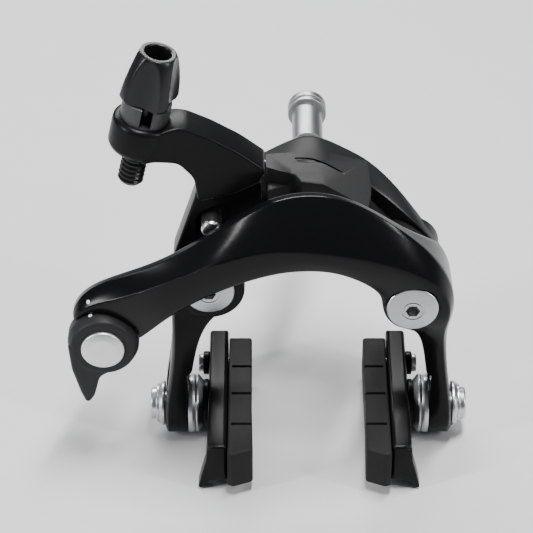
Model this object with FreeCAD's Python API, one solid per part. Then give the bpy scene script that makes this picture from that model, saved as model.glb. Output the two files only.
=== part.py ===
"""Symmetric dual-pivot side-pull rim brake caliper, with its shoes, barrel adjuster and quick release.

Millimetres. The origin is the mounting bolt's axis at the rear mounting face. +X is the wheel's
right as seen from the front, +Y points back towards the frame or fork, and +Z is up.
"""
import FreeCAD, Part
import math
import os
from FreeCAD import Vector

# Pivots of the two arms, both along Y
PIVOT_X = 24.3
PIVOT_Z = -8.7
PIVOT_BOLT_R = 3.5
BUSHING_R = 4.6
PIVOT_HEAD_R = 6.2
RUN_GAP = 0.05

# Bracket, measured along Y
SEAT_T = 1.5
EAR_FRONT_Y = -25.2
EAR_BACK_Y = -16.5
TAIL_Y = -12.5
SPRING_Y = -15.2
SCREW_X = -13.0
SCREW_Y = -9.0
SCREW_HEAD_Z = 7.0
SCREW_R = 1.5
SCREW_HEAD_R = 2.2
THRUST_T = 0.8
HUB_BACK_Y = EAR_FRONT_Y - THRUST_T
FRONT_HUB_Y = -43.0
REAR_HUB_Y = -36.5
EAR_R = 7.6

# Sections of the arched band along the bracket's top, on the right of the middle: X, the Y and Z of
# its top edge in front and behind, and the Z of its underside in front and behind.
BAND_SECTIONS = (
    (0.0, -13.0, 12.4, -SEAT_T, 12.8, -8.0, -8.0),
    (4.0, -13.0, 12.0, -SEAT_T, 11.9, -8.0, -8.0),
    (9.0, -12.5, 9.6, -SEAT_T, 8.9, -8.0, -8.0),
    (14.3, -12.0, 5.4, -3.3, 7.0, -8.0, -6.0),
    (20.4, -16.0, 2.4, -9.0, 4.2, -2.4, -1.2),
    (26.4, -22.5, 0.2, -15.0, -1.0, -4.0, -2.4),
    (30.5, -25.0, -3.4, -18.6, -5.2, -11.0, -9.5),
    (33.4, -25.0, -7.6, -20.4, -9.4, -16.0, -15.0),
    (34.2, -25.0, -12.0, -21.4, -13.0, -18.0, -17.0),
)

# Sections of the bracket's left web, from the middle to the ear: X, front and back Y, top and low Z
WEB_SECTIONS = (
    (-9.0, -13.2, -2.2, 5.0, -7.6),
    (-14.2, -16.0, -5.0, 2.0, -9.5),
    (-18.8, -21.5, -16.9, -2.0, -12.0),
    (-25.0, EAR_FRONT_Y + 0.2, EAR_BACK_Y - 0.3, -4.0, -14.5),
)

# Mounting bolt and recessed nut
STUD_R = 3.0
STUD_SHOULDER_R = 3.4
STUD_THREAD_R = 2.8
STUD_END_Y = 20.0
STUD_HEAD_Y = -15.0
NUT_START_Y = 12.0
NUT_COLLAR_Y = 26.0
NUT_END_Y = 30.0
NUT_SLEEVE_R = 3.9
NUT_COLLAR_R = 4.95

# Front arm arch
ARCH_BACK_Y = -38.7
ANCHOR_X = -49.7
ANCHOR_Z = -19.1
ANCHOR_HUB_R = 8.6
ANCHOR_CAP_R = 5.25
ANCHOR_SEAT_Y = -41.5
ANCHOR_FACE_Y = -46.3
TAB_FACE_Y = -45.2
CAP_SEAT_Y = ANCHOR_FACE_Y + 1.2
CAM_SHAFT_R = 3.0
CLAMP_BOLT_R = 2.5
CLAMP_FLANGE_Y = -33.5
CLAMP_PLATE_Y = -31.9

# Lower limbs, with the slot that the shoe bolt slides in
SHOE_Y = -31.0
SHOE_Z = -49.0
SLOT_TRAVEL = 10.0
SLOT_HALF = 3.15
LIMB_HALF_Y = 7.5
WASHER_SEAT_R = 7.8
LIMB_IN_X = 30.1
LIMB_OUT_X = 35.9

# Shoes
SHOE_BOLT_R = 3.0
PAD_FACE_X = 14.2
PAD_BACK_X = 20.0
HOLDER_IN_X = 20.2
HOLDER_OUT_X = 25.0
SHOE_TOP_Z = -43.0
SHOE_LOW_Z = -54.0
PAD_FRONT_Y = -57.0
PAD_REAR_Y = -12.0
HOLDER_FRONT_Y = -55.0
HOLDER_REAR_Y = -9.0
PAD_SLOT_YS = (-23.6, -34.1, -45.6)
PAD_SCREW_R = 1.4
PAD_SCREW_Y = -18.2
PAD_SCREW_Z = -46.6
PAD_SCREW_SEAT_X = HOLDER_OUT_X + 1.6

# Barrel adjuster, on an axis that leans towards the middle
BARREL_Y = -30.0
BARREL_FOOT = Vector(-42.6, BARREL_Y, 19.3)
BARREL_AXIS = Vector(0.2131, 0.0, 0.9770)
BARREL_LEAN = math.degrees(math.atan2(BARREL_AXIS.x, BARREL_AXIS.z))
BARREL_R = 3.1
BARREL_CORE_R = 2.65
BARREL_BORE_R = 1.3
BARREL_PITCH = 1.25
BOSS_R = 7.2
BOSS_LOW, BOSS_TOP = 9.8, 18.3
SLEEVE_R = 5.75
KNOB_LOW, KNOB_TOP = 23.5, 36.1
KNOB_LOW_R, KNOB_TOP_R = 7.3, 4.3
KNOB_SEAT_R = 2.72
KNOB_SEAT_DEPTH = 2.0
SCOOP_R = 9.0
SCOOP_REACH = 14.2
HOUSING_R = 3.05
HOUSING_DEPTH = 8.0

# Adjuster arm, measured along Y
UPPER_FRONT_Y = -34.0
RECESS_FRONT_Y = -33.0
POCKET_Y = -30.0
UPPER_BACK_Y = -25.4
ROLLER_X = -23.5
ROLLER_Z = 9.5
ROLLER_R = 2.4

# Sections of the front arm's arch, from the cable end to the right pivot. Each holds the X and Z of
# its top edge, its crease and its lower edge, and then the Y of its crease.
ARCH_TOP_Y = -41.5
ARCH_SECTIONS = (
    ((-54.5, -7.0), (-52.5, -7.2), (-47.5, -13.5), -46.5),
    ((-47.6, -2.6), (-46.0, -2.8), (-42.4, -14.5), -47.5),
    ((-40.4, 0.8), (-38.7, 0.4), (-36.3, -11.7), -48.0),
    ((-32.7, 5.0), (-30.6, 4.4), (-28.1, -5.3), -48.0),
    ((-24.8, 10.5), (-22.7, 7.7), (-20.5, -1.0), -48.0),
    ((-16.6, 16.8), (-15.2, 10.3), (-13.9, 2.1), -48.0),
    ((-8.5, 21.6), (-8.0, 11.4), (-7.3, 4.0), -48.0),
    ((-1.1, 23.1), (-1.1, 10.9), (-1.0, 4.7), -48.0),
    ((6.5, 22.2), (5.2, 10.2), (4.4, 4.4), -48.0),
    ((14.0, 18.2), (11.7, 8.7), (9.5, 2.4), -47.6),
    ((21.8, 12.0), (18.7, 5.4), (14.3, -1.1), -46.8),
    ((27.9, 6.0), (25.2, 1.6), (17.3, -5.3), -45.6),
    ((32.4, -0.5), (30.2, -2.6), (20.0, -9.0), -44.4),
)


def save(name, shape):
    """Write one sub-part as its own STEP file."""
    shape.exportStep("parts/" + name + ".step")


def rod(radius, start_y, end_y, x=0.0, z=0.0):
    """A cylinder along Y between two Y values."""
    low, high = sorted((start_y, end_y))
    return Part.makeCylinder(radius, high - low, Vector(x, low, z), Vector(0, 1, 0))


def rod_x(radius, start_x, end_x, y, z):
    """A cylinder along X between two X values."""
    low, high = sorted((start_x, end_x))
    return Part.makeCylinder(radius, high - low, Vector(low, y, z), Vector(1, 0, 0))


def ring(outer, inner, start_y, end_y, x=0.0, z=0.0):
    """A flat ring along Y."""
    return rod(outer, start_y, end_y, x, z).cut(rod(inner, start_y - 1, end_y + 1, x, z))


def box(low, high):
    """A box between two corners."""
    return Part.makeBox(high[0] - low[0], high[1] - low[1], high[2] - low[2], Vector(*low))


def plate(outline, start_y, end_y):
    """An outline of (x, z) points, drawn out along Y."""
    points = [Vector(x, start_y, z) for x, z in outline]
    face = Part.Face(Part.makePolygon(points + points[:1]))
    return face.extrude(Vector(0, end_y - start_y, 0))


def deck(outline, low_z, high_z):
    """An outline of (x, y) points, drawn out along Z."""
    points = [Vector(x, y, low_z) for x, y in outline]
    face = Part.Face(Part.makePolygon(points + points[:1]))
    return face.extrude(Vector(0, 0, high_z - low_z))


def slab(outline, start_x, end_x):
    """An outline of (y, z) points, drawn out along X."""
    points = [Vector(start_x, y, z) for y, z in outline]
    face = Part.Face(Part.makePolygon(points + points[:1]))
    return face.extrude(Vector(end_x - start_x, 0, 0))


def on_barrel(distance):
    """The point on the barrel adjuster's axis at a distance from its foot."""
    return BARREL_FOOT + BARREL_AXIS * distance


def barrel_rod(radius, low, high):
    """A cylinder on the barrel adjuster's axis."""
    return Part.makeCylinder(radius, high - low, on_barrel(low), BARREL_AXIS)


def hexagon(across, start_y, end_y, x=0.0, z=0.0):
    """A hexagonal prism along Y, of a width across its flats."""
    reach = across / math.sqrt(3)
    turns = [math.radians(60 * step) for step in range(6)]
    return plate([(x + reach * math.cos(t), z + reach * math.sin(t)) for t in turns], start_y, end_y)


def mirrored(shape):
    """The same shape on the other side of the wheel."""
    return shape.mirror(Vector(0, 0, 0), Vector(1, 0, 0))


def band():
    """The arch over the bracket, from one ear to the other."""
    left_half = [(-x, *rest) for x, *rest in reversed(BAND_SECTIONS[1:])]
    sections = []
    for x, front_y, front_top, back_y, back_top, front_low, back_low in [*left_half, *BAND_SECTIONS]:
        sections.append([Vector(x, front_y, front_low), Vector(x, front_y, front_top),
                         Vector(x, back_y, back_top), Vector(x, back_y, back_low)])
    return faceted_loft(sections)


def web():
    """The bracket's left web, which sweeps forward and down from the middle to the pivot's ear."""
    sections = []
    for x, front_y, back_y, top_z, low_z in WEB_SECTIONS:
        sections.append([Vector(x, front_y, low_z), Vector(x, front_y, top_z),
                         Vector(x, back_y, top_z), Vector(x, back_y, low_z)])
    return faceted_loft(sections).fuse(rod(EAR_R, EAR_FRONT_Y, EAR_BACK_Y, -PIVOT_X, PIVOT_Z))


def screw_rod(radius, low, high):
    """A vertical cylinder on the centring screw's axis, from heights over the seat of its head."""
    return Part.makeCylinder(radius, high - low, Vector(SCREW_X, SCREW_Y, SCREW_HEAD_Z + low))


def bracket():
    """The rear bracket: an arched band over a block for the mounting bolt, with an ear to each pivot."""
    core = plate([(-10.4, -7.9), (-10.4, 6.6), (0.0, 10.0), (10.4, 6.6), (10.4, -7.9)], -17.0, -1.6)
    block = deck([(-10.6, -8.0), (-10.6, -13.4), (-3.4, -18.2), (-2.2, -20.8), (3.2, -21.8), (9.6, -25.2),
                  (13.6, -29.3), (14.8, -20.0), (14.4, -8.0)], -3.0, 12.0)
    slope = plate([(-20.0, 8.2), (-12.0, 11.0), (-4.5, 11.9), (3.0, 11.9), (14.0, 9.2), (20.0, 7.4),
                   (20.0, 30.0), (-20.0, 30.0)], -40.0, -6.0)
    body = band().fuse([core, block.cut(slope), web(), mirrored(web())])
    body = body.cut(deck([(-3.6, -10.6), (0.5, -11.4), (4.6, -12.8), (8.6, -15.2), (8.4, -15.8),
                          (4.2, -13.4), (0.3, -12.0), (-3.7, -11.1)], 10.6, 14.0))
    body = body.cut(hexagon(10.4, -22.0, STUD_HEAD_Y))
    body = body.cut(rod(STUD_SHOULDER_R, -30.0, 2.0))
    for x in (-PIVOT_X, PIVOT_X):
        body = body.cut(rod(PIVOT_BOLT_R, -30.0, 2.0, x, PIVOT_Z))
    body = body.cut(screw_rod(SCREW_R, -8.0, 20.0))
    return body.cut(screw_rod(SCREW_HEAD_R + 0.2, 0.0, 10.0)).removeSplitter()


def mounting_bolt():
    """A hexagon bolt through the bracket, whose stud stands out of the rear face."""
    stud = rod(STUD_R, -1.0, NUT_START_Y)
    thread = rod(STUD_THREAD_R, NUT_START_Y - 1.0, STUD_END_Y)
    shoulder = rod(STUD_SHOULDER_R, STUD_HEAD_Y, 0.0)
    head = hexagon(10.0, STUD_HEAD_Y - 5.0, STUD_HEAD_Y)
    return stud.fuse([thread, shoulder, head]).removeSplitter()


def mounting_washer():
    """The toothed seat between the bracket and the frame, with a rim of radial teeth."""
    seat = ring(8.2, STUD_SHOULDER_R, -SEAT_T, 0.0)
    for step in range(12):
        notch = box((-0.5, -0.4, 5.8), (0.5, 0.5, 9.0))
        notch.rotate(Vector(0, 0, 0), Vector(0, 1, 0), 30 * step)
        seat = seat.cut(notch)
    return seat


def recessed_nut():
    """The sleeve nut that pulls the stud into the frame, with a hexagon socket in its back."""
    nut = rod(NUT_SLEEVE_R, NUT_START_Y, NUT_COLLAR_Y)
    nut = nut.fuse(rod(NUT_COLLAR_R, NUT_COLLAR_Y, NUT_COLLAR_Y + 1.2))
    nut = nut.fuse(rod(NUT_COLLAR_R - 0.5, NUT_COLLAR_Y, NUT_END_Y))
    nut = nut.fuse(rod(NUT_COLLAR_R, NUT_COLLAR_Y + 1.9, NUT_END_Y))
    nut = nut.cut(rod(STUD_THREAD_R + RUN_GAP, NUT_START_Y - 1, 24.0))
    return nut.cut(hexagon(5.0, NUT_END_Y - 4.0, NUT_END_Y + 1))


def pivot_bolt(x, hub_y):
    """A pivot bolt with a wide, low cone for a head and a hexagon socket."""
    shank = rod(PIVOT_BOLT_R, hub_y, TAIL_Y, x, PIVOT_Z)
    rim = rod(PIVOT_HEAD_R, hub_y - 1.0, hub_y, x, PIVOT_Z)
    cone = Part.makeCone(2.9, PIVOT_HEAD_R, 0.7, Vector(x, hub_y - 1.7, PIVOT_Z), Vector(0, 1, 0))
    bolt = shank.fuse([rim, cone])
    return bolt.cut(hexagon(3.0, hub_y - 3.0, hub_y + 1.8, x, PIVOT_Z))


def pivot_bushing(x, hub_y):
    """The plain bush between a pivot bolt and its arm."""
    return ring(BUSHING_R, PIVOT_BOLT_R, hub_y, HUB_BACK_Y, x, PIVOT_Z)


def thrust_washer(x):
    """The low-friction washer between an arm and the bracket's ear."""
    return ring(7.6, PIVOT_BOLT_R, HUB_BACK_Y, EAR_FRONT_Y, x, PIVOT_Z)


def return_spring(side):
    """A wire spring that hooks round a pivot bolt's tail and pushes its arm open."""
    wire_r = 0.9
    loop_r = PIVOT_BOLT_R + wire_r + 0.2
    centre = Vector(-PIVOT_X, SPRING_Y, PIVOT_Z)
    loop = Part.makeTorus(loop_r, wire_r, centre, Vector(0, -1, 0), 0, 360, 250)
    start = centre + Vector(loop_r, 0, 0)
    reach = Vector(-1.5, 0.0, -20.9)
    leg = Part.makeCylinder(wire_r, reach.Length, start, reach)
    spring = loop.fuse(leg)
    return spring if side < 0 else mirrored(spring)


def centering_screw():
    """The small headed screw in the bracket that centres the shoes over the rim."""
    shank = screw_rod(SCREW_R, -8.0, 2.0)
    head = screw_rod(SCREW_HEAD_R, 0.0, 3.0)
    slot = box((SCREW_X - 0.3, SCREW_Y - 3.0, SCREW_HEAD_Z + 2.0),
               (SCREW_X + 0.3, SCREW_Y + 3.0, SCREW_HEAD_Z + 5.0))
    return shank.fuse(head).cut(slot)


def limb():
    """The lower limb of the left arm, with its rounded foot and its slot for the shoe bolt."""
    front = plate(
        [(-33.0, -8.0), (-33.4, -27.0), (-34.3, -34.7), (-LIMB_OUT_X, -49.0), (-LIMB_OUT_X, -58.0),
         (-LIMB_IN_X, -58.0), (-LIMB_IN_X, -40.5), (-28.4, -30.0), (-24.5, -19.0),
         (-18.5, -14.0), (-24.3, -8.0)],
        -40.0, -20.0)
    y_front = SHOE_Y - LIMB_HALF_Y
    y_back = SHOE_Y + LIMB_HALF_Y
    side = slab(
        [(y_front, SHOE_Z), (y_front, -26.0), (REAR_HUB_Y, -16.0), (REAR_HUB_Y, -6.0),
         (HUB_BACK_Y, -6.0), (HUB_BACK_Y, -20.0), (y_back, -27.0), (y_back, SHOE_Z)],
        -40.0, -15.0)
    foot = rod_x(LIMB_HALF_Y, -40.0, -15.0, SHOE_Y, SHOE_Z)
    blank = front.common(side.fuse(foot))
    slot = box((-40.0, SHOE_Y - SLOT_HALF, SHOE_Z), (-28.0, SHOE_Y + SLOT_HALF, SHOE_Z + SLOT_TRAVEL))
    ends = [rod_x(SLOT_HALF, -40.0, -28.0, SHOE_Y, SHOE_Z + rise) for rise in (0.0, SLOT_TRAVEL)]
    washer_seat = box((-LIMB_IN_X, SHOE_Y - WASHER_SEAT_R, SHOE_Z),
                      (-20.0, SHOE_Y + WASHER_SEAT_R, SHOE_Z + SLOT_TRAVEL))
    washer_seat_top = rod_x(WASHER_SEAT_R, -LIMB_IN_X, -20.0, SHOE_Y, SHOE_Z + SLOT_TRAVEL)
    return blank.cut(slot.fuse(ends)).cut(washer_seat.fuse(washer_seat_top))


def arch_section(top, crease, lower, crease_y):
    """The five corners of one section across the front arm's arch."""
    return [
        Vector(top[0], ARCH_TOP_Y, top[1]),
        Vector(crease[0], crease_y, crease[1]),
        Vector(lower[0], crease_y + 1.6, lower[1]),
        Vector(lower[0], ARCH_BACK_Y, lower[1] - 0.5),
        Vector(top[0], ARCH_BACK_Y, top[1] - 0.8),
    ]


def triangle(a, b, c):
    """One flat three-sided face."""
    return Part.Face(Part.makePolygon([a, b, c, a]))


def faceted_loft(sections):
    """A closed solid through sections of equally many corners, with flat three-sided faces."""
    faces = []
    count = len(sections[0])
    for near, far in zip(sections, sections[1:]):
        for i in range(count):
            j = (i + 1) % count
            faces.append(triangle(near[i], near[j], far[i]))
            faces.append(triangle(near[j], far[j], far[i]))
    for end in (sections[0], sections[-1]):
        faces += [triangle(end[0], end[i], end[i + 1]) for i in range(1, count - 1)]
    solid = Part.makeSolid(Part.makeShell(faces))
    if solid.Volume < 0:
        solid.reverse()
    return solid


def front_arm():
    """The arm that carries the cable anchor, turns on the right pivot and holds the right shoe."""
    arch = faceted_loft([arch_section(*section) for section in ARCH_SECTIONS])
    hub = rod(10.4, FRONT_HUB_Y, HUB_BACK_Y, PIVOT_X, PIVOT_Z)
    right_limb = mirrored(limb())
    cheek = plate([(28.0, 4.5), (33.0, -1.0), (34.6, -8.0), (34.2, -16.0), (26.0, -17.0), (18.0, -8.0)],
                  FRONT_HUB_Y, HUB_BACK_Y)
    anchor_end = rod(8.4, ANCHOR_SEAT_Y, -36.0, ANCHOR_X, -15.2)
    anchor_web = plate([(-54.0, -8.0), (-46.0, -3.6), (-38.0, -1.0), (-37.0, -11.6), (-43.0, -19.5)],
                       ANCHOR_SEAT_Y, -36.0)
    arm = arch.fuse([hub, right_limb, cheek, anchor_end, anchor_web])
    pocket_r = ANCHOR_HUB_R + 0.6
    lever_pocket = Part.makeCone(pocket_r + 8.0, pocket_r, 12.5,
                                 Vector(ANCHOR_X, ANCHOR_SEAT_Y - 12.5, ANCHOR_Z), Vector(0, 1, 0))
    arm = arm.cut(lever_pocket)
    arm = arm.cut(rod(BUSHING_R + RUN_GAP, -60.0, 0.0, PIVOT_X, PIVOT_Z))
    arm = arm.cut(rod(PIVOT_HEAD_R + 0.5, -60.0, FRONT_HUB_Y, PIVOT_X, PIVOT_Z))
    arm = arm.cut(rod(CAM_SHAFT_R + RUN_GAP, -60.0, 0.0, ANCHOR_X, ANCHOR_Z))
    return arm.removeSplitter()


def adjuster_arm():
    """The arm that carries the barrel adjuster, turns on the left pivot and holds the left shoe."""
    boss = barrel_rod(BOSS_R, BOSS_LOW, BOSS_TOP)
    upper = plate(
        [(-42.0, 28.4), (-37.0, 28.2), (-32.8, 27.2), (-28.6, 24.4), (-26.7, 20.5), (-27.4, 15.0),
         (-24.0, 14.9), (-12.4, 20.6), (-10.8, 22.6), (-10.8, 24.8), (-16.6, 29.3), (-23.5, 33.6),
         (-28.0, 35.9), (-31.5, 36.6), (-36.8, 35.6), (-41.0, 37.4)],
        UPPER_FRONT_Y, UPPER_BACK_Y)
    lower = plate(
        [(-26.6, 20.5), (-29.6, 10.0), (-32.8, -1.2), (-33.0, -10.0), (-16.5, -9.0), (-14.0, 4.0),
         (-11.5, 14.0), (-11.5, 20.0)],
        RECESS_FRONT_Y, HUB_BACK_Y)
    hub = rod(8.8, REAR_HUB_Y, HUB_BACK_Y, -PIVOT_X, PIVOT_Z)
    arm = boss.fuse([upper, lower, hub, limb()])
    arm = arm.cut(rod(PIVOT_HEAD_R + 0.5, -60.0, REAR_HUB_Y, -PIVOT_X, PIVOT_Z))
    pocket = plate([(-27.6, 8.0), (-27.0, 12.0), (-24.0, 13.2), (-12.0, 17.6), (-12.0, 15.0),
                    (-15.0, 6.0), (-26.0, 5.0)], -40.0, POCKET_Y)
    arm = arm.cut(pocket)
    arm = arm.cut(rod(1.6, -40.0, 0.0, ROLLER_X, ROLLER_Z))
    arm = arm.cut(rod(BUSHING_R + RUN_GAP, -60.0, 0.0, -PIVOT_X, PIVOT_Z))
    arm = arm.cut(barrel_rod(BARREL_R + 0.1, BOSS_LOW - 5, BOSS_TOP - 3))
    return arm.cut(barrel_rod(SLEEVE_R, BOSS_TOP - 3, BOSS_TOP + 5)).removeSplitter()


def equalizer_roller():
    """The steel roller on the adjuster arm that the front arm's back bears on."""
    stem = rod(1.6, POCKET_Y - 0.2, -27.0, ROLLER_X, ROLLER_Z)
    return stem.fuse(rod(ROLLER_R, -37.4, POCKET_Y, ROLLER_X, ROLLER_Z))


def adjuster_sleeve():
    """The slotted sleeve that the barrel's thread runs in."""
    sleeve = barrel_rod(SLEEVE_R, BOSS_TOP - 3, KNOB_LOW - 0.3)
    sleeve = sleeve.cut(barrel_rod(BARREL_R + 0.1, 0, KNOB_TOP))
    slot = Part.makeBox(1.6, 8.0, 2.6, Vector(-0.8, -9.0, 0))
    slot.rotate(Vector(0, 0, 0), Vector(0, 1, 0), BARREL_LEAN)
    slot.translate(on_barrel(BOSS_TOP + 0.3))
    return sleeve.cut(slot)


def adjuster_barrel():
    """The hollow threaded barrel that the cable runs through, with a ring for each thread."""
    barrel = barrel_rod(BARREL_CORE_R, 0.0, KNOB_LOW + KNOB_SEAT_DEPTH - 0.1)
    turns = int(KNOB_LOW / BARREL_PITCH)
    crests = [barrel_rod(BARREL_R, 0.4 + n * BARREL_PITCH, 1.0 + n * BARREL_PITCH) for n in range(turns)]
    return barrel.fuse(crests).cut(barrel_rod(BARREL_BORE_R, -1.0, KNOB_TOP))


def adjuster_knob():
    """The tapered finger knob, with four scooped sides and a seat for the cable's housing."""
    knob = Part.makeCone(KNOB_LOW_R, KNOB_TOP_R, KNOB_TOP - KNOB_LOW, on_barrel(KNOB_LOW), BARREL_AXIS)
    for step in range(4):
        turn = math.radians(45 + 90 * step)
        out = Vector(math.cos(turn), math.sin(turn), 0)
        scoop = Part.makeCylinder(SCOOP_R, 30.0, out * SCOOP_REACH + Vector(0, 0, 1.5), Vector(0, 0, 1))
        scoop.rotate(out * SCOOP_REACH, Vector(-out.y, out.x, 0), -8)
        scoop.rotate(Vector(0, 0, 0), Vector(0, 1, 0), BARREL_LEAN)
        scoop.translate(on_barrel(KNOB_LOW))
        knob = knob.cut(scoop)
    knob = knob.cut(barrel_rod(KNOB_SEAT_R, KNOB_LOW - 1, KNOB_LOW + KNOB_SEAT_DEPTH))
    knob = knob.cut(barrel_rod(BARREL_BORE_R, 0.0, KNOB_TOP + 1))
    return knob.cut(barrel_rod(HOUSING_R, KNOB_TOP - HOUSING_DEPTH, KNOB_TOP + 1))


def release_lever():
    """The quick-release lever: a round hub with a short pointed finger tab."""
    rim_y = ANCHOR_SEAT_Y - 0.2
    rim = rod(ANCHOR_HUB_R, rim_y - 1.0, rim_y, ANCHOR_X, ANCHOR_Z)
    dome = Part.makeCone(6.3, ANCHOR_HUB_R, rim_y - 1.0 - ANCHOR_FACE_Y,
                         Vector(ANCHOR_X, ANCHOR_FACE_Y, ANCHOR_Z), Vector(0, 1, 0))
    tab = plate(
        [(-58.2, -18.0), (-57.3, -26.0), (-55.6, -33.0), (-54.4, -36.6), (-53.2, -36.8), (-52.0, -33.8),
         (-50.9, -29.0), (-45.7, -26.0)],
        TAB_FACE_Y, rim_y)
    lever = rim.fuse([dome, tab])
    lever = lever.cut(rod(ANCHOR_CAP_R, -60.0, CAP_SEAT_Y, ANCHOR_X, ANCHOR_Z))
    return lever.cut(rod(CAM_SHAFT_R, -60.0, 0.0, ANCHOR_X, ANCHOR_Z)).removeSplitter()


def anchor_cap():
    """The round cap over the cam shaft, with a low dome."""
    wall_y = CAP_SEAT_Y - 1.9
    wall = rod(ANCHOR_CAP_R, wall_y, CAP_SEAT_Y, ANCHOR_X, ANCHOR_Z)
    crown = Part.makeCone(4.4, ANCHOR_CAP_R, 0.5, Vector(ANCHOR_X, wall_y - 0.5, ANCHOR_Z), Vector(0, 1, 0))
    return wall.fuse(crown)


def cam_shaft():
    """The shaft that joins the lever to the cable clamp behind the arm."""
    shaft = rod(CAM_SHAFT_R, CAP_SEAT_Y, CLAMP_FLANGE_Y, ANCHOR_X, ANCHOR_Z)
    flange = rod(5.6, CLAMP_FLANGE_Y - 2.3, CLAMP_FLANGE_Y, ANCHOR_X, ANCHOR_Z)
    return shaft.fuse(flange).cut(rod(CLAMP_BOLT_R, -36.0, -30.0, ANCHOR_X, ANCHOR_Z))


def cable_clamp_plate():
    """The grooved plate that pinches the cable's inner wire."""
    clamp = rod(5.2, CLAMP_FLANGE_Y, CLAMP_PLATE_Y, ANCHOR_X, ANCHOR_Z)
    groove = box((ANCHOR_X + 3.0, CLAMP_FLANGE_Y - 0.4, -30.0), (ANCHOR_X + 4.4, CLAMP_FLANGE_Y + 0.6, -8.0))
    return clamp.cut(rod(CLAMP_BOLT_R, -36.0, -30.0, ANCHOR_X, ANCHOR_Z)).cut(groove)


def cable_clamp_bolt():
    """The hexagon bolt behind the arm that tightens the cable clamp."""
    head = hexagon(8.0, CLAMP_PLATE_Y, CLAMP_PLATE_Y + 3.5, ANCHOR_X, ANCHOR_Z)
    return rod(CLAMP_BOLT_R, -36.0, CLAMP_PLATE_Y, ANCHOR_X, ANCHOR_Z).fuse(head)


def shoe_bolt():
    """The left shoe's clamp bolt, with a stepped head outside the limb."""
    shank = rod_x(SHOE_BOLT_R, -37.4, -21.9, SHOE_Y, SHOE_Z)
    head = rod_x(4.0, -39.5, -37.4, SHOE_Y, SHOE_Z).fuse(rod_x(4.9, -38.0, -37.4, SHOE_Y, SHOE_Z))
    reach = 4.0 / math.sqrt(3)
    turns = [math.radians(60 * step) for step in range(6)]
    outline = [(SHOE_Y + reach * math.cos(t), SHOE_Z + reach * math.sin(t)) for t in turns]
    return shank.fuse(head).cut(slab(outline, -40.0, -37.6))


def shoe_ring(outer, near_x, far_x):
    """A washer round the left shoe's bolt."""
    return rod_x(outer, far_x, near_x, SHOE_Y, SHOE_Z).cut(rod_x(SHOE_BOLT_R, -50, 0, SHOE_Y, SHOE_Z))


def cone_washer():
    """The dished washer that lets the left shoe tilt against its limb."""
    cone = Part.makeCone(7.4, 5.8, 1.9, Vector(-28.2, SHOE_Y, SHOE_Z), Vector(1, 0, 0))
    return cone.cut(rod_x(SHOE_BOLT_R, -50, 0, SHOE_Y, SHOE_Z))


def pad_holder():
    """The left shoe's channel, closed in front, with a fin at its lower front corner."""
    channel = box((-HOLDER_OUT_X, HOLDER_FRONT_Y, SHOE_LOW_Z), (-HOLDER_IN_X, HOLDER_REAR_Y, SHOE_TOP_Z))
    corners = [edge for edge in channel.Edges
               if edge.BoundBox.ZLength > 5.0 and abs(edge.BoundBox.YMin - HOLDER_FRONT_Y) < 0.01]
    channel = channel.makeFillet(2.0, corners)
    rail = box((-HOLDER_IN_X - 0.1, -54.0, SHOE_LOW_Z),
               (-HOLDER_IN_X + 1.3, HOLDER_REAR_Y - 3, SHOE_LOW_Z + 1.0))
    seat = rod_x(6.0, -HOLDER_OUT_X - 1.3, -HOLDER_OUT_X, SHOE_Y, SHOE_Z)
    fin = plate([(-24.9, -54.0), (-27.4, -56.6), (-26.2, -48.0), (-24.9, -43.4)], -54.5, -46.5)
    boss = rod_x(3.0, -PAD_SCREW_SEAT_X, -HOLDER_OUT_X, PAD_SCREW_Y, PAD_SCREW_Z)
    body = channel.fuse([rail, seat, fin, boss])
    body = body.cut(rod_x(SHOE_BOLT_R, -50, -21.9, SHOE_Y, SHOE_Z))
    return body.cut(rod_x(PAD_SCREW_R, -50, 0, PAD_SCREW_Y, PAD_SCREW_Z))


def pad():
    """The left rubber pad, curved to the rim, with three slots across its top."""
    outline = [(-PAD_BACK_X, -56.4), (-18.6, PAD_FRONT_Y), (-13.7, PAD_FRONT_Y + 2.2), (-PAD_FACE_X, -36.0),
               (-PAD_FACE_X, PAD_REAR_Y), (-PAD_BACK_X, PAD_REAR_Y)]
    points = [Vector(x, y, SHOE_LOW_Z) for x, y in outline]
    face = Part.Face(Part.makePolygon(points + points[:1]))
    block = face.extrude(Vector(0, 0, SHOE_TOP_Z - SHOE_LOW_Z - 0.3))
    block = block.cut(box((-21.0, -54.5, SHOE_LOW_Z - 1), (-18.8, -12.0, SHOE_LOW_Z + 1.1)))
    for y in PAD_SLOT_YS:
        block = block.cut(box((-19.2, y - 0.5, SHOE_TOP_Z - 3.2), (-13.0, y + 0.5, SHOE_TOP_Z + 1)))
        block = block.cut(box((-16.0, y - 0.5, SHOE_LOW_Z - 1), (-13.0, y + 0.5, SHOE_TOP_Z + 1)))
    return block.cut(rod_x(PAD_SCREW_R, -50, -18.0, PAD_SCREW_Y, PAD_SCREW_Z))


def pad_screw():
    """The small screw that keeps the left pad in its holder."""
    shank = rod_x(PAD_SCREW_R, -PAD_SCREW_SEAT_X, -18.2, PAD_SCREW_Y, PAD_SCREW_Z)
    head = rod_x(2.25, -PAD_SCREW_SEAT_X - 1.1, -PAD_SCREW_SEAT_X, PAD_SCREW_Y, PAD_SCREW_Z)
    slot = box((-28.5, PAD_SCREW_Y - 0.3, -50.0), (-PAD_SCREW_SEAT_X - 0.6, PAD_SCREW_Y + 0.3, -43.0))
    return shank.fuse(head).cut(slot)


def spring_slider():
    """The nylon block on the left limb that the return spring's leg rests against."""
    back_y = SHOE_Y + LIMB_HALF_Y
    stem = box((-32.0, back_y, -28.6), (-26.0, SPRING_Y + 1.5, -26.4))
    return stem.fuse(box((-27.4, SPRING_Y - 1.7, -29.2), (-22.1, SPRING_Y + 1.7, -25.8)))


os.makedirs("parts", exist_ok=True)

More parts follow.
